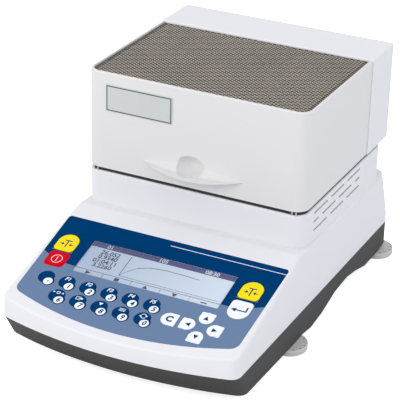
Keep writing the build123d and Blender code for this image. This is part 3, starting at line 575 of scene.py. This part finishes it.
# Hood grille: a sheet of expanded steel laid in the hood's top, slit and stretched into staggered
# diamonds. One diamond is repeated over the sheet by Geometry Nodes. A folded edge holds the mesh; its
# near-black colour is painted shade on the fold. Under the mesh lies a black sheet that is painted shade,
# so that the holes read dark.
PITCH_X, PITCH_Y, OPEN_SHARE, STRAND_DIP, STRAND_T = 3.03 * MM, 3.5 * MM, 0.79, 0.3 * MM, 0.35 * MM
PLAIN_EDGE, CORNER_R, CORNER_IN, WELD_GAP = 0.4 * MM, 8.0 * MM, 1.6 * MM, 0.02 * MM
EDGE_R, EDGE_REAR_R, EDGE_STEPS, EDGE_LIP, EDGE_LIP_RISE = 9.3 * MM, 0.4 * MM, 6, 1.1 * MM, 0.03 * MM
EDGE_FOLD = ((0.0, -0.5), (0.2, -0.1), (0.7, 0.1))
SHADE_SHEET_IN, SHADE_SHEET_R, SHADE_SHEET_REAR_R, SHADE_SHEET_LOW, SHADE_SHEET_HIGH = 0.8, 8.5, 0.5, 0.05, 0.3
grille_steel = finish("expanded_steel", (0.665, 0.597, 0.519), 0.34, metal=0.7, grain=0.15,
                      grain_scale=400.0, mottle=0.2)
# The folded edge's near-black colour is painted shade on the fold.
shaded_edge_steel = finish("folded_edge_painted_shade", (0.07, 0.064, 0.056), 0.4, metal=0.5, grain=0.15, mottle=0.2)
# The black sheet under the mesh is painted shade seen through the holes.
shade_black = finish("painted_shade_black", (0.004, 0.0035, 0.003), 0.7, mottle=0.2, shine=0.1)
low, high = [Vector(c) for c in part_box("hood_grille")]
cell = bmesh.new()
corners = ((PITCH_X, 0), (0, PITCH_Y / 2), (-PITCH_X, 0), (0, -PITCH_Y / 2))
edge_ring = [[cell.verts.new((x, y, z)) for z in (0, -STRAND_T)] for x, y in corners]
hole_ring = [[cell.verts.new((x * OPEN_SHARE, y * OPEN_SHARE, z - (STRAND_DIP if y < 0 else 0)))
              for z in (0, -STRAND_T)] for x, y in corners]
for k in range(4):
    j = (k + 1) % 4
    cell.faces.new([edge_ring[k][0], edge_ring[j][0], hole_ring[j][0], hole_ring[k][0]])
    cell.faces.new([hole_ring[k][1], hole_ring[j][1], edge_ring[j][1], edge_ring[k][1]])
    cell.faces.new([hole_ring[k][0], hole_ring[j][0], hole_ring[j][1], hole_ring[k][1]])
diamond = bpy.data.objects.new("diamond", mesh_of(cell))
scene_objects.link(diamond)


def repeated(name, points, source, gap, mat):
    """Points carrying copies of a source object, made real and welded by Geometry Nodes."""
    net = bpy.data.node_groups.new(name, "GeometryNodeTree")
    net.interface.new_socket("Geometry", in_out="INPUT", socket_type="NodeSocketGeometry")
    item = net.interface.new_socket("Item", in_out="INPUT", socket_type="NodeSocketObject")
    weld_gap = net.interface.new_socket("Weld gap", in_out="INPUT", socket_type="NodeSocketFloat")
    look = net.interface.new_socket("Finish", in_out="INPUT", socket_type="NodeSocketMaterial")
    net.interface.new_socket("Geometry", in_out="OUTPUT", socket_type="NodeSocketGeometry")
    kinds = ("NodeGroupInput", "NodeGroupOutput", "GeometryNodeMeshToPoints", "GeometryNodeObjectInfo",
             "GeometryNodeInstanceOnPoints", "GeometryNodeRealizeInstances", "GeometryNodeMergeByDistance",
             "GeometryNodeSetMaterial")
    start, end, dots, info, spread, real, weld, paint = [net.nodes.new(kind) for kind in kinds]
    for a, b in ((start.outputs["Geometry"], dots.inputs["Mesh"]),
                 (start.outputs["Item"], info.inputs["Object"]),
                 (dots.outputs[0], spread.inputs["Points"]),
                 (info.outputs["Geometry"], spread.inputs["Instance"]),
                 (spread.outputs[0], real.inputs[0]),
                 (real.outputs[0], weld.inputs["Geometry"]),
                 (start.outputs["Weld gap"], weld.inputs["Distance"]),
                 (weld.outputs[0], paint.inputs["Geometry"]),
                 (start.outputs["Finish"], paint.inputs["Material"]),
                 (paint.outputs[0], end.inputs[0])):
        net.links.new(a, b)
    cloud = bpy.data.meshes.new(name)
    cloud.from_pydata(points, [], [])
    holder = bpy.data.objects.new(name, cloud)
    scene_objects.link(holder)
    maker = holder.modifiers.new("repeat", "NODES")
    maker.node_group = net
    maker[item.identifier] = source
    maker[weld_gap.identifier] = gap
    maker[look.identifier] = mat
    mesh = bpy.data.meshes.new_from_object(holder.evaluated_get(bpy.context.evaluated_depsgraph_get()))
    bpy.data.objects.remove(holder)
    bpy.data.objects.remove(source)
    return mesh


def in_corners(x, y):
    """Whether a diamond's middle keeps clear of the sheet's round front corners."""
    out_x, out_y = abs(x) - (high.x - CORNER_R), y - (low.y + CORNER_R)
    return not (out_x > 0 and out_y < 0 and math.hypot(out_x, out_y) > CORNER_R - CORNER_IN)


mid_y = (low.y + high.y) / 2
columns = int((high.x - low.x - 2 * PLAIN_EDGE) / PITCH_X) - 1
rows = int((high.y - low.y - 2 * PLAIN_EDGE) / PITCH_Y)
places = []
for i in range(columns):
    x = (i - (columns - 1) / 2) * PITCH_X
    for j in range(rows):
        y = mid_y + (j - (rows - 1) / 2 + 0.5 * (i % 2) - 0.25) * PITCH_Y
        if in_corners(x, y):
            places.append((x, y, high.z))
grille_mesh = repeated("expanded_mesh", places, diamond, WELD_GAP, grille_steel)
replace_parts(piece("hood_grille_sheet", grille_mesh, grille_steel, "hood"), "hood_grille")
edge = bmesh.new()


def edge_loop(inset, z, front_r):
    """A loop round the sheet with round front corners and nearly square rear ones."""
    loop = []
    x, ya, yb = high.x - inset, low.y + inset, high.y - inset
    for cx, cy, a0, r in ((x, yb, 0, EDGE_REAR_R), (-x, yb, 90, EDGE_REAR_R), (-x, ya, 180, front_r),
                          (x, ya, 270, front_r)):
        sx, sy = math.copysign(1, cx), (1 if cy == yb else -1)
        for k in range(EDGE_STEPS + 1):
            a = math.radians(a0 + 90 / EDGE_STEPS * k)
            loop.append(edge.verts.new((cx - sx * r + r * math.cos(a), cy - sy * r + r * math.sin(a), z)))
    return loop


edge_loops = [edge_loop(0, low.z, EDGE_R)]
edge_loops += [edge_loop(inset * MM, high.z + rise * MM, EDGE_R - inset * MM) for inset, rise in EDGE_FOLD]
edge_loops += [edge_loop(PLAIN_EDGE + EDGE_LIP, z, EDGE_R - PLAIN_EDGE)
               for z in (high.z + EDGE_LIP_RISE, low.z)]
band(edge, edge_loops + edge_loops[:1])
bmesh.ops.recalc_face_normals(edge, faces=edge.faces)
piece("hood_grille_edge", mesh_of(edge), shaded_edge_steel, "hood")
shade_sheet_loop = round_box(high.x / MM - SHADE_SHEET_IN, low.y / MM + SHADE_SHEET_IN, high.y / MM - SHADE_SHEET_IN, SHADE_SHEET_R,
                   SHADE_SHEET_REAR_R)
shade_sheet_mesh = slab([shade_sheet_loop], low.z / MM + SHADE_SHEET_LOW, low.z / MM + SHADE_SHEET_HIGH)
piece("grille_screen", shade_sheet_mesh, shade_black, "hood")

# Heater under the grille: a steel reflector coloured near black as painted shade, two quartz lamps in
# ceramic ends and a bright temperature probe over the middle of the pan.
reflector_shade_steel = finish("reflector_painted_shade", (0.006, 0.005, 0.004), 0.7, grain=0.2, mottle=0.3, shine=0.1)
quartz = finish("quartz_tube", (0.85, 0.83, 0.78), 0.15, mottle=0.02, coat=0.5)
ceramic = finish("lamp_ceramic", (0.80, 0.78, 0.72), 0.5, grain=0.2)
wear(reflector_shade_steel, "reflector")
wear(quartz, "halogen_lamps")
wear(ceramic, "lamp_sockets")
wear(post_steel, "temperature_probe")

# Hood rear cover: the same white plastic moulding as the base, screwed to the front shell from inside.
# It carries the lugs that turn on the hinge's pins.
wear(white, "hood_rear_cover")

# Studio: a pale floor, even white light and three large soft lamps. The camera stands where the
# photograph's did, with its long lens.
FLOOR_HALF, FLOOR_GLOW, WORLD_STRENGTH = 60, 0.75, 0.86
LAMP_AIM = Vector((0, 0, 0.1))
CAMERA_AT, CAMERA_LENS, CAMERA_SENSOR = (0.567149, -1.174078, 0.722123), 152.24, 36.0
paper = finish("floor_paper", (0.86, 0.86, 0.87), 0.85, mottle=0.005)
paper_tree = paper.node_tree
paper_shader = paper_tree.nodes["Principled BSDF"]
ray = paper_tree.nodes.new("ShaderNodeLightPath")
paper_shader.inputs["Emission Color"].default_value = (1.0, 1.0, 1.0, 1.0)
seen = paper_tree.nodes.new("ShaderNodeMath")
seen.operation = "MULTIPLY"
seen.inputs[1].default_value = FLOOR_GLOW
paper_tree.links.new(ray.outputs["Is Camera Ray"], seen.inputs[0])
paper_tree.links.new(seen.outputs[0], paper_shader.inputs["Emission Strength"])
floor_mesh = bpy.data.meshes.new("floor")
floor_corners = [(x, y, 0) for x, y in block(-FLOOR_HALF, FLOOR_HALF, -FLOOR_HALF, FLOOR_HALF)]
floor_mesh.from_pydata(floor_corners, [], [(0, 1, 2, 3)])
floor_mesh.materials.append(paper)
floor = bpy.data.objects.new("floor", floor_mesh)
scene_objects.link(floor)
world = bpy.data.worlds.new("studio")
bpy.context.scene.world = world
world.use_nodes = True
world_light = world.node_tree.nodes["Background"]
world_light.inputs["Color"].default_value = (0.965, 0.975, 1.0, 1.0)
world_light.inputs["Strength"].default_value = WORLD_STRENGTH
for name, stand, size, power, tone in (("lamp_left", (-1.0, -1.6, 1.2), 1.3, 15.0, (1.0, 0.97, 0.92)),
                                       ("lamp_right", (1.7, -0.5, 0.9), 1.2, 5.0, (0.95, 0.97, 1.0)),
                                       ("lamp_top", (0.1, 0.3, 1.9), 1.4, 3.0, (1.0, 1.0, 1.0))):
    light = bpy.data.lights.new(name, "AREA")
    light.color = tone
    light.size = size
    light.energy = power
    lamp = bpy.data.objects.new(name, light)
    lamp.location = stand
    lamp.rotation_euler = (LAMP_AIM - Vector(stand)).to_track_quat("-Z", "Y").to_euler()
    scene_objects.link(lamp)
camera_data = bpy.data.cameras.new("camera")
camera_data.sensor_width = CAMERA_SENSOR
camera_data.lens = CAMERA_LENS
camera = bpy.data.objects.new("camera", camera_data)
camera_axes = Matrix(((0.89381, 0.44785, 0.02307),
                      (-0.21263, 0.37795, 0.90108),
                      (0.39483, -0.81030, 0.43304)))
camera.matrix_world = Matrix.Translation(CAMERA_AT) @ camera_axes.transposed().to_4x4()
scene_objects.link(camera)
bpy.context.scene.camera = camera
bpy.context.scene.view_settings.view_transform = "Standard"
